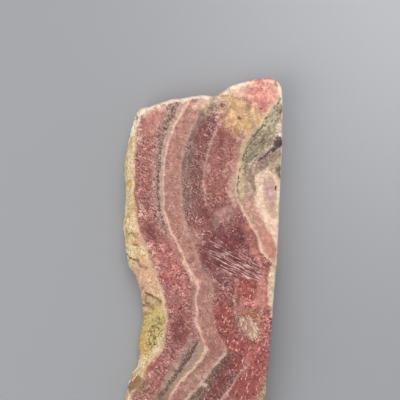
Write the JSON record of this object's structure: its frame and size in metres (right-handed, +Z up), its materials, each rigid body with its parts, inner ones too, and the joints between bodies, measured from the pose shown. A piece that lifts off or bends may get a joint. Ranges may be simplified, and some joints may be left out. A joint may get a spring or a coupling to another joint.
{
  "type": "rhodochrosite slice",
  "caption": "Flat sawn slice of banded pink mineral with a lumpy natural skin along one side, lying on its back face.",
  "frame": {"origin": "centre of the slice's box, at the bottom, on the surface that it lies on", "axes": "+Z up out of the sawn front face, +Y along the slice towards its worn top end, +X towards the straight sawn side"},
  "size_m": [0.0516, 0.12, 0.009],
  "materials": {
    "banded_stone": "fine-sawn banded rhodochrosite: rose, salmon and grey bands with cream seams, satin, with an ochre natural skin"
  },
  "bodies": {
    "root": {"slice": "banded_stone"}
  },
  "joints": []
}
